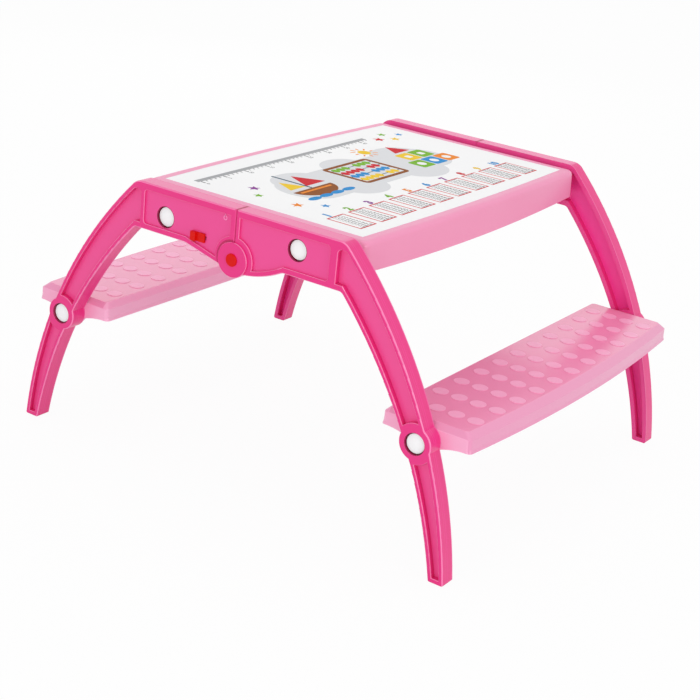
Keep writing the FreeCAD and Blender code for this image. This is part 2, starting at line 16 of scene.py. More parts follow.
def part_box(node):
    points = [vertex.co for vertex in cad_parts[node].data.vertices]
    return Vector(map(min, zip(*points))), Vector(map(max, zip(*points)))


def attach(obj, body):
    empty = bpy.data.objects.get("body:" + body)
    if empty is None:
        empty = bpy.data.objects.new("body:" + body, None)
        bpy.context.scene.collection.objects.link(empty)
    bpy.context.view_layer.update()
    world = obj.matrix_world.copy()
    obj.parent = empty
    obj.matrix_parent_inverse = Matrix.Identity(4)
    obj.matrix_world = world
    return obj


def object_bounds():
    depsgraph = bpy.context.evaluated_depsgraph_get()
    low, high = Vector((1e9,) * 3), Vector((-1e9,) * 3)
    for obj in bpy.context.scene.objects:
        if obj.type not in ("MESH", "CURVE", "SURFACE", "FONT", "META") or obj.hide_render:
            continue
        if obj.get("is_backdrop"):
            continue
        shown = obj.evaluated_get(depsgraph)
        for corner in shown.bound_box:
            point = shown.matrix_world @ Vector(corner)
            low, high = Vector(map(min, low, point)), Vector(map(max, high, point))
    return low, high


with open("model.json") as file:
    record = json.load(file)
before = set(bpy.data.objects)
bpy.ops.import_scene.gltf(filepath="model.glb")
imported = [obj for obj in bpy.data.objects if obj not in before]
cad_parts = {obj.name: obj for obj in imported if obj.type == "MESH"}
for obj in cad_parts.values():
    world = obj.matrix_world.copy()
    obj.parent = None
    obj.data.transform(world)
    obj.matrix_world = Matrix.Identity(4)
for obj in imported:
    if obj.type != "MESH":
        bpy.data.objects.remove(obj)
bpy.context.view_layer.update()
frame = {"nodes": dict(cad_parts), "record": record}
nodes = frame["nodes"]

# %% [markdown]
# ## The camera
# A product shot like this is taken from standing height, to the right of the near side.
# The view is given by a point that the camera looks at, two angles, a distance and a
# small roll. A long lens keeps the far legs from looking too small.

# %% Camera
scene = bpy.context.scene
look_at = Vector((0.1418, -0.2391, 0.2400))
azimuth, elevation, roll = (math.radians(angle) for angle in (32.476, 21.233, 5.952))
camera_distance = 2.1608
focal_length_mm, sensor_width_mm = 79.65, 36.0

outward = Vector((math.sin(azimuth), -math.cos(azimuth), 0.0))
back = outward * math.cos(elevation) + Vector((0.0, 0.0, math.sin(elevation)))
level = Vector((math.cos(azimuth), math.sin(azimuth), 0.0))
upright = back.cross(level)
right = level * math.cos(roll) + upright * math.sin(roll)
up = upright * math.cos(roll) - level * math.sin(roll)

camera_data = bpy.data.cameras.new("camera")
camera_data.lens = focal_length_mm
camera_data.sensor_width = sensor_width_mm
camera = bpy.data.objects.new("camera", camera_data)
scene.collection.objects.link(camera)
turned = Matrix((right, up, back)).transposed().to_4x4()
camera.matrix_world = Matrix.Translation(look_at + back * camera_distance) @ turned
scene.camera = camera
scene.view_settings.view_transform = "Standard"
print("camera at", tuple(round(x, 3) for x in camera.matrix_world.translation))

# %% [markdown]
# ## The room
# The room is plain: a white floor that runs past the edges of the picture, a white
# world and four soft lamps. The floor is plain white paint to all light that falls on
# it. Only the camera and mirror-like reflections see it brighter, through the Light Path
# node, so that it looks like a white studio floor and still keeps a soft shadow.
# Node trees are built with two small helpers: one adds a node with its settings, the
# other joins two sockets.


# %% Node helpers
def add_node(tree, kind, inputs=None, **settings):
    """Add a shader node, with settings as attributes and input values by socket."""
    made = tree.nodes.new("ShaderNode" + kind)
    for key, value in settings.items():
        setattr(made, key, value)
    for key, value in (inputs or {}).items():
        made.inputs[key].default_value = value
    return made


def join(tree, source, target):
    """Join an output socket to an input socket."""
    tree.links.new(source, target)


def seen_directly(tree):
    """A value that is 1 for rays from the camera and for mirror-like reflections."""
    path = add_node(tree, "LightPath")
    either = add_node(tree, "Math", operation="MAXIMUM")
    join(tree, path.outputs["Is Camera Ray"], either.inputs[0])
    join(tree, path.outputs["Is Glossy Ray"], either.inputs[1])
    return either.outputs[0]


print("node helpers ready")

# %% Floor
white = (1, 1, 1, 1)
floor_size, floor_drop = 24.0, 0.0004
floor_grey, floor_glow = 0.86, 0.95
bpy.ops.object.select_all(action="DESELECT")
bpy.ops.mesh.primitive_plane_add(size=floor_size, location=(0, 0, -floor_drop))
floor = bpy.context.active_object
floor.name = "studio_floor"
floor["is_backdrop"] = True

floor_paint = bpy.data.materials.new("studio_floor_paint")
floor_paint.use_nodes = True
tree = floor_paint.node_tree
tree.nodes.clear()
paint = add_node(tree, "BsdfDiffuse", {"Color": (floor_grey, floor_grey, floor_grey, 1)})
glow = add_node(tree, "Emission", {"Color": white})
share = add_node(tree, "Math", {1: floor_glow}, operation="MULTIPLY")
mix = add_node(tree, "MixShader")
out = add_node(tree, "OutputMaterial")
join(tree, seen_directly(tree), share.inputs[0])
join(tree, share.outputs[0], mix.inputs["Fac"])
join(tree, paint.outputs[0], mix.inputs[1])
join(tree, glow.outputs[0], mix.inputs[2])
join(tree, mix.outputs[0], out.inputs["Surface"])
floor.data.materials.append(floor_paint)
print("floor:", floor_size, "m across")

# %% World
ambient_level, backdrop_level = 0.75, 1.0
world = bpy.data.worlds.new("studio_world")
scene.world = world
world.use_nodes = True
tree = world.node_tree
tree.nodes.clear()
ambient = add_node(tree, "Background", {"Color": white, "Strength": ambient_level})
backdrop = add_node(tree, "Background", {"Color": white, "Strength": backdrop_level})
mix = add_node(tree, "MixShader")
out = add_node(tree, "OutputWorld")
join(tree, seen_directly(tree), mix.inputs["Fac"])
join(tree, ambient.outputs[0], mix.inputs[1])
join(tree, backdrop.outputs[0], mix.inputs[2])
join(tree, mix.outputs[0], out.inputs["Surface"])
print("world: ambient", ambient_level)

# %% [markdown]
# ### Lamps
# A low lamp in front lights the arms, one on the right lights the apron and the legs, and
# a wide one above gives the tops their shine. The fourth stands behind and brightens the
# far edges. Reflections leave it out, because it would glare on the polished seats.

# %% Lamps
lamp_target = Vector((0, 0, 0.25))


def soft_lamp(name, place, size, power):
    """Square area lamp at a place, turned to the middle of the table."""
    lamp = bpy.data.lights.new(name, "AREA")
    lamp.shape = "SQUARE"
    lamp.size = size
    lamp.energy = power
    obj = bpy.data.objects.new(name, lamp)
    obj.location = place
    obj.rotation_euler = (lamp_target - Vector(place)).to_track_quat("-Z", "Y").to_euler()
    scene.collection.objects.link(obj)
    return obj


lamps = [soft_lamp("front_lamp", (0.3, -2.6, 0.65), 1.2, 10.0),
         soft_lamp("side_lamp", (2.6, -0.8, 0.6), 0.8, 11.5),
         soft_lamp("top_lamp", (0.0, 0.3, 2.8), 2.0, 11.0),
         soft_lamp("back_lamp", (-1.9, 2.3, 1.3), 1.6, 8.0)]
lamps[-1].visible_glossy = False
print("lamps:", [lamp.name for lamp in lamps])

# %% [markdown]
# ## Moulded plastic
# All the large pieces are injection-moulded plastic. Looked at closely, such a skin has
# a very fine even grain from the tool, faint cloudy bands where the melt flowed, and a
# gloss that changes a little from place to place. Several finishes share this effect, so
# it is built once as a node group and placed in each material with its own values.


# %% Moulded skin group
def add_sockets(group, side, kind, titles):
    """Give a node group named sockets of one kind, on its input or its output side."""
    for title in titles:
        group.interface.new_socket(title, in_out=side, socket_type="NodeSocket" + kind)


skin = bpy.data.node_groups.new("moulded_skin", "ShaderNodeTree")
add_sockets(skin, "INPUT", "Color", ("Colour", "Deep Colour"))
add_sockets(skin, "INPUT", "Float", ("Flow Scale", "Grain Scale", "Gloss Low", "Gloss High"))
add_sockets(skin, "OUTPUT", "Color", ("Colour",))
add_sockets(skin, "OUTPUT", "Float", ("Roughness", "Height"))
flow_detail, grain_detail = 1.0, 2.0
noise_low, noise_high = 0.3, 0.7
given = skin.nodes.new("NodeGroupInput")
made = skin.nodes.new("NodeGroupOutput")
spot = add_node(skin, "TexCoord")
flow = add_node(skin, "TexNoise", {"Detail": flow_detail})
grain = add_node(skin, "TexNoise", {"Detail": grain_detail})
blend = add_node(skin, "Mix", data_type="RGBA")
gloss = add_node(skin, "MapRange", {"From Min": noise_low, "From Max": noise_high})
for noise in (flow, grain):
    join(skin, spot.outputs["Object"], noise.inputs["Vector"])
join(skin, given.outputs["Flow Scale"], flow.inputs["Scale"])
join(skin, given.outputs["Grain Scale"], grain.inputs["Scale"])
join(skin, flow.outputs["Fac"], blend.inputs["Factor"])
join(skin, given.outputs["Colour"], blend.inputs["A"])
join(skin, given.outputs["Deep Colour"], blend.inputs["B"])
join(skin, blend.outputs["Result"], made.inputs["Colour"])
join(skin, flow.outputs["Fac"], gloss.inputs["Value"])
join(skin, given.outputs["Gloss Low"], gloss.inputs["To Min"])
join(skin, given.outputs["Gloss High"], gloss.inputs["To Max"])
join(skin, gloss.outputs["Result"], made.inputs["Roughness"])
join(skin, grain.outputs["Fac"], made.inputs["Height"])
print("group:", skin.name, "with", len(skin.nodes), "nodes")


# %% [markdown]
# ## Colours
# Colours are written as they look on a screen, in 0 to 255, and changed to the linear
# values that the shader wants.

# %% Screen colours
def linear(red, green, blue):
    """Linear colour of a screen colour given in 0 to 255."""
    values = []
    for part in (red, green, blue):
        part /= 255.0
        values.append(part / 12.92 if part <= 0.04045 else ((part + 0.055) / 1.055) ** 2.4)
    return (*values, 1.0)


print("screen grey 188 is linear", round(linear(188, 188, 188)[0], 3))

# %% [markdown]
# ## The plastics
# Every plastic is the same Principled shader with the shared skin. They differ in colour,
# in the range of their gloss and in the depth of their grain. The frames and the benches
# also have a thin clear coat, for the sheen of a well polished mould.

# %% Moulded materials
satin, dull, matt = (0.29, 0.37), (0.32, 0.42), (0.45, 0.55)
plain_grain, fine_grain, film_grain = 0.0002, 0.0001, 0.00005
flow_scale, grain_scale, grain_strength = 9.0, 1400.0, 0.25
plastic_ior, coat_roughness = 1.5, 0.18


def moulded(name, colour, deep, gloss_range, grain_depth, shine=0.5, coat=0.0):
    """Moulded plastic: the shared skin feeds colour, roughness and a fine bump."""
    material = bpy.data.materials.new(name)
    material.use_nodes = True
    tree = material.node_tree
    shader = tree.nodes["Principled BSDF"]
    shader.inputs["IOR"].default_value = plastic_ior
    shader.inputs["Specular IOR Level"].default_value = shine
    shader.inputs["Coat Weight"].default_value = coat
    shader.inputs["Coat Roughness"].default_value = coat_roughness
    values = {"Colour": linear(*colour), "Deep Colour": linear(*deep), "Flow Scale": flow_scale,
              "Grain Scale": grain_scale, "Gloss Low": gloss_range[0], "Gloss High": gloss_range[1]}
    group = add_node(tree, "Group", values, node_tree=skin)
    bump = add_node(tree, "Bump", {"Strength": grain_strength, "Distance": grain_depth})
    join(tree, group.outputs["Colour"], shader.inputs["Base Color"])
    join(tree, group.outputs["Roughness"], shader.inputs["Roughness"])
    join(tree, group.outputs["Height"], bump.inputs["Height"])
    join(tree, bump.outputs["Normal"], shader.inputs["Normal"])
    return material


frame_plastic = moulded("frame_plastic", (235, 46, 134), (232, 40, 128), satin, plain_grain,
                        shine=0.3, coat=0.25)
panel_plastic = moulded("panel_plastic", (242, 150, 188), (240, 145, 184), satin, plain_grain)
seat_plastic = moulded("seat_plastic", (235, 150, 188), (233, 145, 185), satin, plain_grain, coat=0.5)
cap_plastic = moulded("cap_plastic", (250, 250, 251), (247, 247, 249), satin, fine_grain)
latch_plastic = moulded("latch_plastic", (222, 20, 12), (214, 14, 8), dull, plain_grain, shine=0.15)
# the sign's pale pink is partly painted light, which lifts the shade of the sunk panel it stands in
sign_plastic = moulded("sign_plastic", (253, 140, 196), (252, 134, 192), dull, fine_grain)
sheet_film = moulded("sheet_film", (250, 250, 250), (248, 248, 249), matt, film_grain, shine=0.2)
print("plastics:", [material.name for material in bpy.data.materials if material.name.endswith("plastic")])

# %% [markdown]
# ## A second finish in the same mould
# A mould is often polished in one place and grained in another. On this table the sunk
# panels of the arms and the floors of the leg channels are duller and paler than the
# polished rims, and the benches have a polished seat with grained dots. The same masks
# also place painted highlights and painted shade further on.
# These faces all lie at known depths or heights, so a mask picks them by one of their
# own Object coordinates: 1 within a narrow band about a place, and 0 elsewhere. The
# frames and the benches both need such masks, so the band is a node group. It drops the
# sign of the coordinate, because near and far, and left and right, are alike.

# %% Face band group
band_group = bpy.data.node_groups.new("face_band", "ShaderNodeTree")
add_sockets(band_group, "INPUT", "Vector", ("Axis",))
add_sockets(band_group, "INPUT", "Float", ("Place", "Half Width"))
add_sockets(band_group, "OUTPUT", "Float", ("Mask",))
given = band_group.nodes.new("NodeGroupInput")
made = band_group.nodes.new("NodeGroupOutput")
spot = add_node(band_group, "TexCoord")
along = add_node(band_group, "VectorMath", operation="DOT_PRODUCT")
size = add_node(band_group, "Math", operation="ABSOLUTE")
close = add_node(band_group, "Math", operation="COMPARE")
join(band_group, spot.outputs["Object"], along.inputs[0])
join(band_group, given.outputs["Axis"], along.inputs[1])
join(band_group, along.outputs["Value"], size.inputs[0])
join(band_group, size.outputs[0], close.inputs[0])
join(band_group, given.outputs["Place"], close.inputs[1])
join(band_group, given.outputs["Half Width"], close.inputs[2])
join(band_group, close.outputs[0], made.inputs["Mask"])
print("group:", band_group.name, "with", len(band_group.nodes), "nodes")

# %% [markdown]
# ### From a mask to a finish
# Three helpers do the rest: one places a band in a material, one makes a new mask from two
# others, and one mixes another colour and roughness in where a mask is 1. Each new layer,
# real finish and painted light alike, lies over those before it.

# %% Mask helpers
along_x, along_y, along_z = (1, 0, 0), (0, 1, 0), (0, 0, 1)


def face_band(material, axis, place, half_width):
    """1 where the size of one object coordinate is close to a place."""
    values = {"Axis": axis, "Place": place, "Half Width": half_width}
    return add_node(material.node_tree, "Group", values, node_tree=band_group).outputs["Mask"]


def combine(material, operation, first, second):
    """One mask from two: MULTIPLY wants both to be 1, MAXIMUM wants either."""
    tree = material.node_tree
    both = add_node(tree, "Math", operation=operation)
    join(tree, first, both.inputs[0])
    join(tree, second, both.inputs[1])
    return both.outputs[0]


def second_finish(material, mask, colour, roughness):
    """Put another colour and roughness on a material where a mask is 1."""
    tree = material.node_tree
    shader = tree.nodes["Principled BSDF"]
    for title, kind, value in (("Base Color", "RGBA", linear(*colour)), ("Roughness", "FLOAT", roughness)):
        before = shader.inputs[title].links[0].from_socket
        mix = add_node(tree, "Mix", {"B": value}, data_type=kind)
        join(tree, mask, mix.inputs["Factor"])
        join(tree, before, mix.inputs["A"])
        join(tree, mix.outputs["Result"], shader.inputs[title])


print("mask helpers ready")

# %% [markdown]
# ### Faces of the frames
# Depths are counted from the outer face of a frame. The sunk panels of the arms come
# first, then the floors of the leg channels, then the back of the channel's web, which is
# the floor of the leg's inside, and last the inner rims. The inside floors are grained like
# the other floors; their brighter pink is painted light, which lifts the shade they lie in
# under the table.

# %% Frame faces
outer_face = -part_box("leg_near_left")[0].y
inner_face = -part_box("leg_near_left")[1].y
panel_recess, channel_depth, web = 0.004, 0.009, 0.004
band = 0.0002
grained_roughness = 0.42
# the brighter pink of the inside floors is painted light against the shade under the table
frame_faces = {"panels": (outer_face - panel_recess, (238, 74, 149)),
               "channel floors": (outer_face - channel_depth, (242, 80, 154)),
               "inside floors": (outer_face - channel_depth - web, (251, 68, 166)),
               "inner rims": (inner_face, (238, 74, 149))}
for place, colour in frame_faces.values():
    second_finish(frame_plastic, face_band(frame_plastic, along_y, place, band), colour, grained_roughness)
print("frame faces in metres:", {title: round(face[0], 4) for title, face in frame_faces.items()})

# %% [markdown]
# ### Painted highlights on the edges of the frames
# The rims are rounded, and the rounded edges of glossy plastic catch the light. That
# highlight is painted on: the edges get a paler colour and a smoother finish. The edge of
# the hinge disc lies further out, because the disc stands proud of the arm. The inner edges
# lie in the shade of the table, so their painted highlight is weaker and stays closer to
# the colour of their rims.

# %% Frame edges
edge_depth, disc_proud = 0.001, 0.003
edge_band = edge_depth - band
edge_roughness = 0.3
rim_edges = face_band(frame_plastic, along_y, outer_face - edge_depth, edge_band)
disc_edges = face_band(frame_plastic, along_y, outer_face + disc_proud - edge_depth, edge_band)
outer_edge_highlight = combine(frame_plastic, "MAXIMUM", rim_edges, disc_edges)
inner_edge_highlight = face_band(frame_plastic, along_y, inner_face + edge_depth, edge_band)
# painted highlight: the rounded outer edges get a paler pink than the rims
second_finish(frame_plastic, outer_edge_highlight, (247, 128, 181), edge_roughness)
# a weaker painted highlight on the inner edges, which lie in shade
second_finish(frame_plastic, inner_edge_highlight, (241, 98, 164), edge_roughness)
print("edge bands:", round(2000 * edge_band, 2), "mm wide")

# %% [markdown]
# ### Painted reflection on the arm tops, painted shade at the split
# The flat tops of the arms are smooth and reflect the white room; that reflection is
# painted on as a paler pink. Where the two arms meet, a narrow gap gathers shade, and the
# shade is painted too: the plastic beside the gap is a deeper pink on top, and in front it
# loses its painted pale edge.

# %% Arm tops and split
arm_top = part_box("leg_near_left")[1].z
top_band, split_half_width = 0.0008, 0.0026
top_roughness, split_roughness = 0.25, 0.37
painted_shade_pink = (196, 18, 96)
tops = face_band(frame_plastic, along_z, arm_top, top_band)
beside_split = face_band(frame_plastic, along_x, 0.0, split_half_width)
split_top_shade = combine(frame_plastic, "MULTIPLY", beside_split, tops)
split_front = combine(frame_plastic, "MULTIPLY", beside_split, outer_edge_highlight)
# painted reflection of the white room: a paler pink on the flat arm tops
second_finish(frame_plastic, tops, (240, 98, 160), top_roughness)
# painted shade on the tops beside the split
second_finish(frame_plastic, split_top_shade, painted_shade_pink, split_roughness)
# in front beside the split, the painted edge highlight is taken back
second_finish(frame_plastic, split_front, (236, 70, 144), split_roughness)
print("arm tops at", round(arm_top, 4), "m")

# %% [markdown]
# ### Painted shade in the gaps round the hinge and the caps
# The hinge disc of the right arm turns in a round seat of the left one, and each white cap
# sits in a round hole. Both leave a narrow gap in deep shade, and that shade is painted on
# as a dark ring. A ring mask measures the distance from an axis along Y. At the hinge only
# the left half of the ring counts, on the outer face, and it is moved a little to the left,
# clear of the disc that hides it.


# %% Round gaps
def ring(material, centre_x, centre_z, radius, half_width):
    """1 in a ring about an axis along Y."""
    tree = material.node_tree
    spot = add_node(tree, "TexCoord")
    flat = add_node(tree, "Mapping", {"Location": (-centre_x, 0, -centre_z), "Scale": (1, 0, 1)})
    reach = add_node(tree, "VectorMath", operation="LENGTH")
    close = add_node(tree, "Math", {1: radius, 2: half_width}, operation="COMPARE")
    join(tree, spot.outputs["Object"], flat.inputs["Vector"])
    join(tree, flat.outputs[0], reach.inputs[0])
    join(tree, reach.outputs["Value"], close.inputs[0])
    return close.outputs[0]


def left_side(material):
    """1 on the left of the split."""
    tree = material.node_tree
    spot = add_node(tree, "TexCoord")
    split = add_node(tree, "SeparateXYZ")
    left = add_node(tree, "Math", {1: 0.0}, operation="LESS_THAN")
    join(tree, spot.outputs["Object"], split.inputs[0])
    join(tree, split.outputs["X"], left.inputs[0])
    return left.outputs[0]


disc_radius, gap_width, gap_shift = 0.025, 0.0028, -0.0012
hinge_z = frame["record"]["behaviour"]["joints"][0]["pos_m"][2]
disc_shade_ring = ring(frame_plastic, gap_shift, hinge_z, disc_radius + gap_width / 2, gap_width / 2)
left_shade_ring = combine(frame_plastic, "MULTIPLY", disc_shade_ring, left_side(frame_plastic))
front = face_band(frame_plastic, along_y, outer_face, band)
hinge_gap_shade = combine(frame_plastic, "MULTIPLY", left_shade_ring, front)
# painted shade: a dark ring in the gap at the left of the hinge disc
second_finish(frame_plastic, hinge_gap_shade, painted_shade_pink, grained_roughness)

hole_offset, hole_half_width = 0.0009, 0.0012
cap_nodes = ("arm_caps_right", "arm_caps_left", "bench_caps_right", "bench_caps_left")
for caps in cap_nodes:
    low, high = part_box(caps)
    centre, cap_radius = (low + high) / 2, (high.x - low.x) / 2
    hole = ring(frame_plastic, centre.x, centre.z, cap_radius + hole_offset, hole_half_width)
    # painted shade: a dark ring in the gap round each cap
    second_finish(frame_plastic, hole, (150, 10, 66), grained_roughness)
print("gaps round the hinge disc and", len(cap_nodes), "pairs of caps")

# %% [markdown]
# ### The benches
# The seats are polished between their dots, and the dots are grained. The inner skirts,
# with the slope above them, and the ends at the frames have a duller skin. Their paler
# colour is painted light, which lifts the shade they lie in under the table and beside
# the frames.

# %% Bench finishes
dot_height = 0.0006
seat_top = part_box("bench_right")[1].z - dot_height
skirt_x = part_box("bench_right")[0].x
skirt_middle, skirt_half_width, end_half_width = 0.005, 0.0054, 0.0006
skirt_roughness, polished_roughness, dot_roughness = 0.37, 0.18, 0.45
skirt = face_band(seat_plastic, along_x, skirt_x + skirt_middle, skirt_half_width)
ends = face_band(seat_plastic, along_y, inner_face, end_half_width)
polished = face_band(seat_plastic, along_z, seat_top, band)
dots = face_band(seat_plastic, along_z, seat_top + dot_height, band)
# painted light: paler skirts and ends lift the shade under the table and beside the frames
second_finish(seat_plastic, skirt, (248, 175, 209), skirt_roughness)
second_finish(seat_plastic, ends, (248, 172, 207), skirt_roughness)
second_finish(seat_plastic, polished, (246, 149, 189), polished_roughness)
second_finish(seat_plastic, dots, (252, 170, 207), dot_roughness)
print("seat at", round(seat_top, 4), "m")

# %% [markdown]
# ## Zinc-plated steel
# The bolts, nuts, pins and bars are plated steel: a grey metal with a slightly warm,
# patchy plating and a fine brushed gloss.

# %% Plated steel
patch_scale, patch_detail = 240.0, 4.0
plating_low, plating_high = 0.24, 0.46
plated_steel = bpy.data.materials.new("plated_steel")
plated_steel.use_nodes = True
tree = plated_steel.node_tree
shader = tree.nodes["Principled BSDF"]
shader.inputs["Metallic"].default_value = 1.0
spot = add_node(tree, "TexCoord")
patches = add_node(tree, "TexNoise", {"Scale": patch_scale, "Detail": patch_detail})
tint = add_node(tree, "Mix", {"A": linear(196, 197, 200), "B": linear(176, 174, 166)}, data_type="RGBA")
wear = add_node(tree, "MapRange", {"To Min": plating_low, "To Max": plating_high})
join(tree, spot.outputs["Object"], patches.inputs["Vector"])
join(tree, patches.outputs["Fac"], tint.inputs["Factor"])
join(tree, tint.outputs["Result"], shader.inputs["Base Color"])
join(tree, patches.outputs["Fac"], wear.inputs["Value"])
join(tree, wear.outputs["Result"], shader.inputs["Roughness"])
print("metal:", plated_steel.name)

# %% [markdown]
# ## Dressing the solids
# The record gives each solid a material slot. The finish for that slot is put on the
# solid's own object, which stays exactly where it was. The benches share the slot of the
# table top but get the finish with the polished seat.

# %% Finishes on the solids
finish_of_slot = {"frame_pink": frame_plastic, "panel_pink": panel_plastic, "print_sheet": sheet_film,
                  "cap_white": cap_plastic, "latch_red": latch_plastic, "steel": plated_steel}
finish_of_node = {"bench_right": seat_plastic, "bench_left": seat_plastic}
for part in frame["record"]["subparts"]:
    solid = nodes[part["node"]]
    finish = finish_of_node.get(part["node"], finish_of_slot[part["material_slot"]])
    solid.data.materials.clear()
    solid.data.materials.append(finish)

# %% [markdown]
# ## The printed layer
# The white sheet carries a print: a ruler along one side, a row of number tables along
# the other, and pictures between them. The pictures here are plain toys: a boat, a
# counting frame, building blocks, a sun and stars.
# A print could be painted by a shader, but real shapes keep sharp edges at any distance.
# So each patch of ink is a thin plate. The shapes are drawn flat, on a page whose u runs
# to the reader's right and v away from the reader. One drawn shape is kept per patch,
# with a level that says which ink lies on top, and shapes of one colour are joined later.

# %% Page
sheet_low, sheet_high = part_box("top_sheet")
ink_step = 0.00004
drawn = {}


def keep(colour, shape, u, v, level=1, turn=0.0):
    """Put a flat shape at its place on the page and file it under its colour."""
    shape.location = (u, v, level * ink_step)
    shape.rotation_euler = (0, 0, turn)
    drawn.setdefault(colour, []).append(shape)


def edit_all(shape):
    """Go to edit mode on one shape, with all of it selected."""
    bpy.context.view_layer.objects.active = shape
    bpy.ops.object.mode_set(mode="EDIT")
    bpy.ops.mesh.select_all(action="SELECT")


def cut_window(shape, line):
    """Keep only a rim of the given width of a flat shape."""
    edit_all(shape)
    bpy.ops.mesh.inset(thickness=line)
    bpy.ops.mesh.delete(type="FACE")
    bpy.ops.object.mode_set(mode="OBJECT")


print("page in metres:", round(sheet_high.y - sheet_low.y, 4), "by", round(sheet_high.x - sheet_low.x, 4))

# %% [markdown]
# ### Bars and discs
# Most shapes start as a plane or a filled circle from the Add menu, sized by a scale that
# is applied at once. Rounded corners are a bevel of the vertices, and a disc with few
# points is a polygon.


# %% Bars and discs
def flat_bar(width, height, corner=0.0):
    """Flat bar with corners rounded by a bevel of its vertices."""
    bpy.ops.object.select_all(action="DESELECT")
    bpy.ops.mesh.primitive_plane_add(size=1.0)
    bar = bpy.context.active_object
    bar.scale = (width, height, 1)
    bpy.ops.object.transform_apply(location=False, rotation=False, scale=True)
    if corner:
        edit_all(bar)
        bpy.ops.mesh.bevel(offset=corner, segments=6, affect="VERTICES")
        bpy.ops.object.mode_set(mode="OBJECT")
    return bar


def flat_disc(radius, stretch=1.0, points=32):
    """Flat disc, or a polygon when it has few points, stretched along v."""
    bpy.ops.object.select_all(action="DESELECT")
    bpy.ops.mesh.primitive_circle_add(vertices=points, radius=radius, fill_type="NGON")
    disc = bpy.context.active_object
    disc.scale = (1, stretch, 1)
    bpy.ops.object.transform_apply(location=False, rotation=False, scale=True)
    return disc


def keep_below(shape, height):
    """Cut away what lies above a height of v."""
    edit_all(shape)
    bpy.ops.mesh.bisect(plane_co=(0, height, 0), plane_no=(0, 1, 0), clear_outer=True)
    bpy.ops.object.mode_set(mode="OBJECT")
    return shape


def repeat(shape, count, step):
    """A row of copies along u, made with an Array modifier."""
    bpy.context.view_layer.objects.active = shape
    row = shape.modifiers.new("row", "ARRAY")
    row.use_relative_offset = False
    row.use_constant_offset = True
    row.constant_offset_displace = (step, 0, 0)
    row.count = count
    bpy.ops.object.modifier_apply(modifier=row.name)
    return shape


print("flat shapes: bar, disc, cut disc, row")

# %% [markdown]
# ### Stars and figures
# A star is a disc with ten corners, every second one drawn in. To move some corners only,
# they are chosen in object mode, with every edge and face let go first, because edit mode
# would otherwise select all the corners of a chosen face. Figures come from Blender's
# built-in font.


# %% Stars and figures
def edit_corners(shape, wanted):
    """Go to edit mode with only the wanted corners of a shape selected."""
    for part in (*shape.data.edges, *shape.data.polygons):
        part.select = False
    for vertex in shape.data.vertices:
        vertex.select = wanted(vertex)
    bpy.context.tool_settings.mesh_select_mode = (True, False, False)
    bpy.ops.object.mode_set(mode="EDIT")


def flat_star(radius, waist):
    """Five-pointed star: a ten-sided disc with every second corner drawn in."""
    star = flat_disc(radius, points=10)
    edit_corners(star, lambda vertex: vertex.index % 2 == 1)
    bpy.ops.transform.resize(value=(waist, waist, 1))
    bpy.ops.object.mode_set(mode="OBJECT")
    return star


def flat_text(words, size, bold=0.0):
    """Figures in the built-in font, thickened for bold ones, made a mesh."""
    bpy.ops.object.select_all(action="DESELECT")
    bpy.ops.object.text_add()
    text = bpy.context.active_object
    text.data.body = words
    text.data.size = size
    text.data.offset = bold
    text.data.resolution_u = 2
    text.data.align_x = "CENTER"
    text.data.align_y = "CENTER"
    bpy.ops.object.convert(target="MESH")
    return bpy.context.active_object


print("flat shapes: star, text")

# %% [markdown]
# ### The ruler
# A grey band runs along the far edge of the page, with a tick for each centimetre, a
# longer one for every fifth and small figures below those.

# %% Ruler
ruler_start, ruler_v, centimetre = -0.254, 0.135, 0.01
ruler_ticks, long_every = 43, 5
ruler_band, ruler_corner = 0.0095, 0.001
tick_width, tick_length, tick_drop = 0.0018, 0.004, 0.0075
long_width, long_length, long_drop = 0.0022, 0.008, 0.0095
ruler_figure, figure_drop = 0.009, 0.019
ruler_length = (ruler_ticks - 1) * centimetre
ruler_bar = flat_bar(ruler_length + centimetre, ruler_band, ruler_corner)
keep("light_grey", ruler_bar, ruler_start + ruler_length / 2, ruler_v, 2)
ticks = repeat(flat_bar(tick_width, tick_length), ruler_ticks, centimetre)
keep("grey", ticks, ruler_start, ruler_v - tick_drop, 2)
long_count, long_pitch = ruler_ticks // long_every + 1, long_every * centimetre
long_ticks = repeat(flat_bar(long_width, long_length), long_count, long_pitch)
keep("grey", long_ticks, ruler_start, ruler_v - long_drop, 3)
for step in range(0, ruler_ticks, long_every):
    figure = flat_text(str(step), ruler_figure)
    keep("grey", figure, ruler_start + step * centimetre, ruler_v - figure_drop, 2)
print("ruler:", round(ruler_length, 3), "m with", ruler_ticks, "ticks")

# %% [markdown]
# ### The number tables
# Ten red frames stand in a row along the near edge of the page. Each holds the products
# of one number in small grey figures, under a coloured figure that names the number.

# %% Number tables
table_count, table_width, table_height, table_pitch = 10, 0.039, 0.0575, 0.0514
table_start, table_v, table_line = -0.2365, -0.1213, 0.0023
last_factor, product_size, product_bold = 10, 0.0054, 0.00015
title_size, title_bold, title_shift, title_rise = 0.0195, 0.0011, -0.005, 0.0085
figure_colours = ("blue", "green", "purple", "green", "orange", "blue", "purple", "red", "yellow", "blue")
for number in range(1, table_count + 1):
    u = table_start + (number - 1) * table_pitch
    border = flat_bar(table_width, table_height)
    cut_window(border, table_line)
    keep("red", border, u, table_v, 2)
    products = "\n".join("%d x %d = %d" % (number, n, number * n) for n in range(1, last_factor + 1))
    keep("grey", flat_text(products, product_size, product_bold), u, table_v, 2)
    title = flat_text(str(number), title_size, title_bold)
    keep(figure_colours[number - 1], title, u + title_shift, table_v + table_height / 2 + title_rise, 3)
print("number tables:", table_count)

# %% [markdown]
# ### The pictures
# A pale cloud lies under the pictures and ties them together. Each toy is then laid out
# from bars, discs and stars in a few lines, larger shapes first and details on top. All
# sizes are metres on the page.

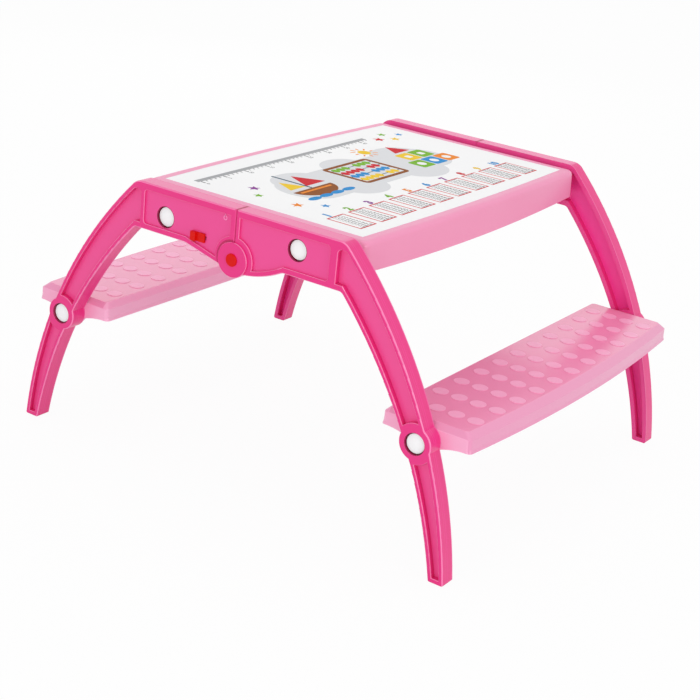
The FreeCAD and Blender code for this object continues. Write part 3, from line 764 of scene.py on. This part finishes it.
# %% Cloud under the pictures
cloud_width, cloud_height, cloud_corner, cloud_v = 0.40, 0.105, 0.05, 0.012
puff_stretch, puff_points, puff_step = 0.8, 48, 0.1
puffs = ((-0.13, 0.045, 0.05), (0.0, 0.055, 0.045), (0.13, 0.04, 0.055),
         (-0.07, -0.03, 0.045), (0.09, -0.03, 0.05))
keep("pale_grey", flat_bar(cloud_width, cloud_height, cloud_corner), 0.0, cloud_v, 1)
for n, (u, v, radius) in enumerate(puffs, 1):
    keep("pale_grey", flat_disc(radius, puff_stretch, puff_points), u, v, 1 + puff_step * n)
print("cloud patches:", len(drawn["pale_grey"]))

# %% [markdown]
# The boat's hull is the lower half of a stretched disc. Its mast is a bar, its sails are
# three-cornered discs, and four flat discs make the waves.

# %% Toy boat
boat_u, boat_v = -0.145, 0.012
hull_radius, hull_stretch, hull_points = 0.046, 0.75, 48
mast_width, mast_height, mast_corner = 0.004, 0.074, 0.001
sail_stretch = 1.15
sails = (("red", 0.027, 0.024, 0.026), ("yellow", 0.021, -0.02, 0.022))
stripe_width, stripe_height, stripe_corner, stripe_drop = 0.074, 0.005, 0.002, 0.008
wave_count, wave_radius, wave_stretch, wave_pitch, wave_drop = 4, 0.014, 0.45, 0.028, 0.036
keep("brown", keep_below(flat_disc(hull_radius, hull_stretch, hull_points), 0.0), boat_u, boat_v, 2)
keep("slate", flat_bar(mast_width, mast_height, mast_corner), boat_u, boat_v + mast_height / 2, 2)
for colour, radius, shift, rise in sails:
    keep(colour, flat_disc(radius, sail_stretch, points=3), boat_u + shift, boat_v + rise, 2)
keep("orange", flat_bar(stripe_width, stripe_height, stripe_corner), boat_u, boat_v - stripe_drop, 3)
first_wave = boat_u - (wave_count - 1) / 2 * wave_pitch
for n in range(wave_count):
    keep("blue", flat_disc(wave_radius, wave_stretch), first_wave + wave_pitch * n, boat_v - wave_drop, 3)
print("boat at", boat_u, boat_v)

# %% [markdown]
# The counting frame has a wooden border, four rods and six beads on each rod. Some beads
# are pushed to the right, so that the rows look used.

# %% Counting frame
frame_u, frame_v, frame_width, frame_height = 0.005, 0.018, 0.118, 0.088
border_line, border_corner = 0.0075, 0.008
rod_pitch, rod_width, rod_margin = 0.018, 0.0018, 0.012
bead_count, bead_radius, bead_stretch, bead_points = 6, 0.0065, 1.2, 24
bead_start, bead_pitch, bead_push = -0.043, 0.0132, 0.016
border = flat_bar(frame_width, frame_height, border_corner)
cut_window(border, border_line)
keep("brown", border, frame_u, frame_v, 4)
bead_rows = ("green", "red", "blue", "yellow")
for n, colour in enumerate(bead_rows):
    v = frame_v + ((len(bead_rows) - 1) / 2 - n) * rod_pitch
    keep("slate", flat_bar(frame_width - rod_margin, rod_width), frame_u, v, 2)
    left_beads = 3 + n % 2
    for bead in range(bead_count):
        push = bead_push if bead >= left_beads else 0.0
        u = frame_u + bead_start + bead_pitch * bead + push
        keep(colour, flat_disc(bead_radius, bead_stretch, bead_points), u, v, 3)
print("counting frame with", len(bead_rows), "rows")

# %% [markdown]
# Three blocks with white discs stand in the lower row and two with white squares on top
# of them. A three-cornered roof ends the tower.

# %% Building blocks
blocks_u, blocks_v, block_size, block_gap, block_corner = 0.155, -0.012, 0.034, 0.003, 0.004
block_pitch = block_size + block_gap
spot_radius, spot_points, square_size, square_corner = 0.008, 24, 0.012, 0.002
roof_radius, roof_stretch, roof_rise = 0.024, 0.95, 0.004
for n, colour in enumerate(("green", "blue", "orange")):
    u = blocks_u + (n - 1) * block_pitch
    keep(colour, flat_bar(block_size, block_size, block_corner), u, blocks_v, 2)
    keep("white", flat_disc(spot_radius, points=spot_points), u, blocks_v, 3)
for n, colour in enumerate(("yellow", "green")):
    u, v = blocks_u + (n - 0.5) * block_pitch, blocks_v + block_pitch
    keep(colour, flat_bar(block_size, block_size, block_corner), u, v, 2)
    keep("white", flat_bar(square_size, square_size, square_corner), u, v, 3)
roof = flat_disc(roof_radius, roof_stretch, points=3)
keep("red", roof, blocks_u, blocks_v + 2 * block_size + roof_rise, 2)
print("blocks at", blocks_u, blocks_v)

# %% [markdown]
# The sun is a disc with ten bars round it, each turned outward. The stars lie loose at the
# two ends of the page, each given by its colour, its place and its radius.

# %% Sun and stars
sun_u, sun_v, sun_radius = 0.095, 0.083, 0.011
ray_count, ray_length, ray_width, ray_corner, ray_reach = 10, 0.009, 0.0028, 0.001, 0.019
star_waist, star_turn = 0.45, 0.4
stars = (("red", 0.19, 0.118, 0.011), ("green", 0.222, 0.134, 0.009), ("yellow", 0.218, 0.104, 0.010),
         ("blue", 0.25, 0.118, 0.008), ("purple", -0.218, 0.062, 0.010), ("green", -0.242, 0.035, 0.008),
         ("orange", -0.235, -0.028, 0.010), ("blue", -0.205, -0.055, 0.008))
keep("yellow", flat_disc(sun_radius), sun_u, sun_v, 3)
for n in range(ray_count):
    angle = 2 * math.pi * n / ray_count
    u, v = sun_u + ray_reach * math.cos(angle), sun_v + ray_reach * math.sin(angle)
    keep("orange", flat_bar(ray_length, ray_width, ray_corner), u, v, 2, angle)
for colour, u, v, radius in stars:
    keep(colour, flat_star(radius, star_waist), u, v, 2, star_turn)
print("shapes drawn:", sum(len(shapes) for shapes in drawn.values()))

# %% [markdown]
# ### Ink
# Printed ink takes a little of the film's gloss and has a fine fleck, like the dots of a
# press. The fleck is a node group, used by every ink with its own colour.

# %% Ink fleck group
fleck_scale, fleck_detail = 1800.0, 2.0
fleck_start, fleck_end, fleck_share = 0.45, 0.75, 0.5
ink_gloss_low, ink_gloss_high = 0.5, 0.6
fleck = bpy.data.node_groups.new("press_fleck", "ShaderNodeTree")
add_sockets(fleck, "INPUT", "Color", ("Colour", "Light Colour"))
add_sockets(fleck, "OUTPUT", "Color", ("Colour",))
add_sockets(fleck, "OUTPUT", "Float", ("Roughness",))
given = fleck.nodes.new("NodeGroupInput")
made = fleck.nodes.new("NodeGroupOutput")
spot = add_node(fleck, "TexCoord")
press = add_node(fleck, "TexNoise", {"Scale": fleck_scale, "Detail": fleck_detail})
thin = add_node(fleck, "MapRange", {"From Min": fleck_start, "From Max": fleck_end, "To Max": fleck_share})
tint = add_node(fleck, "Mix", data_type="RGBA")
gloss = add_node(fleck, "MapRange", {"To Min": ink_gloss_low, "To Max": ink_gloss_high})
join(fleck, spot.outputs["Object"], press.inputs["Vector"])
join(fleck, press.outputs["Fac"], thin.inputs["Value"])
join(fleck, thin.outputs["Result"], tint.inputs["Factor"])
join(fleck, given.outputs["Colour"], tint.inputs["A"])
join(fleck, given.outputs["Light Colour"], tint.inputs["B"])
join(fleck, tint.outputs["Result"], made.inputs["Colour"])
join(fleck, press.outputs["Fac"], gloss.inputs["Value"])
join(fleck, gloss.outputs["Result"], made.inputs["Roughness"])
print("group:", fleck.name, "with", len(fleck.nodes), "nodes")

# %% Ink materials
ink_shine, fleck_lightness = 0.06, 0.2
ink_colours = {"pale_grey": (222, 223, 226), "light_grey": (166, 167, 170), "grey": (84, 84, 88),
               "white": (246, 246, 247), "red": (206, 26, 40), "brown": (140, 78, 30),
               "orange": (238, 136, 40), "yellow": (240, 200, 40), "green": (120, 180, 40),
               "blue": (36, 140, 208), "slate": (42, 78, 100), "purple": (140, 60, 150)}


def ink(name, colour):
    """Ink of one colour, with a fine lighter fleck."""
    material = bpy.data.materials.new(name)
    material.use_nodes = True
    tree = material.node_tree
    shader = tree.nodes["Principled BSDF"]
    shader.inputs["Specular IOR Level"].default_value = ink_shine
    light = (part + (255 - part) * fleck_lightness for part in colour)
    values = {"Colour": linear(*colour), "Light Colour": linear(*light)}
    group = add_node(tree, "Group", values, node_tree=fleck)
    join(tree, group.outputs["Colour"], shader.inputs["Base Color"])
    join(tree, group.outputs["Roughness"], shader.inputs["Roughness"])
    return material


print("inks:", len(ink_colours))

# %% [markdown]
# ### From flat shapes to thin plates
# All shapes of one colour become one piece: they are joined, the page is turned onto the
# sheet, and a Solidify modifier gives the ink its thickness downward, just into the sheet.

# %% Printed pieces
ink_thickness = 0.0001


def join_shapes(shapes, name):
    """Join shapes into one object with a name."""
    bpy.ops.object.select_all(action="DESELECT")
    for shape in shapes:
        shape.select_set(True)
    bpy.context.view_layer.objects.active = shapes[0]
    bpy.ops.object.join()
    joined = bpy.context.active_object
    joined.name = name
    return joined


def thicken(shape, thickness, offset):
    """Give a flat shape a thickness with a Solidify modifier."""
    plate = shape.modifiers.new("plate", "SOLIDIFY")
    plate.thickness = thickness
    plate.offset = offset
    bpy.ops.object.modifier_apply(modifier=plate.name)


for colour, shapes in drawn.items():
    piece = join_shapes(shapes, "print_" + colour)
    bpy.ops.object.transform_apply(location=True, rotation=True, scale=True)
    piece.rotation_euler = (0, 0, math.pi / 2)
    piece.location = (0, 0, sheet_high.z)
    bpy.ops.object.transform_apply(location=True, rotation=True, scale=True)
    thicken(piece, ink_thickness, -1)
    piece.data.materials.clear()
    piece.data.materials.append(ink("ink_" + colour, ink_colours[colour]))
    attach(piece, "right_frame")
    print(piece.name, len(piece.data.polygons), "faces")

# %% [markdown]
# ## The lock sign
# Beside the split of the arms, the sunk panel of the left arm carries a small raised sign
# that points up at the fold: a ring drawn out to a point. It is a disc with its top corner
# pulled up, cut to a rim and thickened, once for the near arm and once for the far one.

# %% Lock signs
sign_radius, sign_point, sign_line, sign_height = 0.0034, 0.0034, 0.0015, 0.0006
sign_place = Vector((-0.0205, outer_face - panel_recess, 0.4098))
corner_reach = 0.00001
signs = []
for side in (-1, 1):
    sign = flat_disc(sign_radius, points=24)
    top = max(vertex.co.y for vertex in sign.data.vertices)
    edit_corners(sign, lambda vertex: vertex.co.y > top - corner_reach)
    bpy.ops.transform.translate(value=(0, sign_point, 0))
    bpy.ops.object.mode_set(mode="OBJECT")
    cut_window(sign, sign_line)
    thicken(sign, 2 * sign_height, 0)
    sign.rotation_euler = (math.pi / 2, 0, 0)
    sign.location = (sign_place.x, side * sign_place.y, sign_place.z)
    bpy.ops.object.transform_apply(location=True, rotation=True, scale=True)
    signs.append(sign)
lock_signs = join_shapes(signs, "lock_signs")
lock_signs.data.materials.clear()
lock_signs.data.materials.append(sign_plastic)
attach(lock_signs, "left_frame")
print("lock signs:", len(lock_signs.data.polygons), "faces")

# %% [markdown]
# ## Size of the finished piece
# The box of the finished piece is measured and printed.

# %% Sizes and finish
low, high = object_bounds()
print("box of the finished piece:", tuple(round(x, 4) for x in high - low))
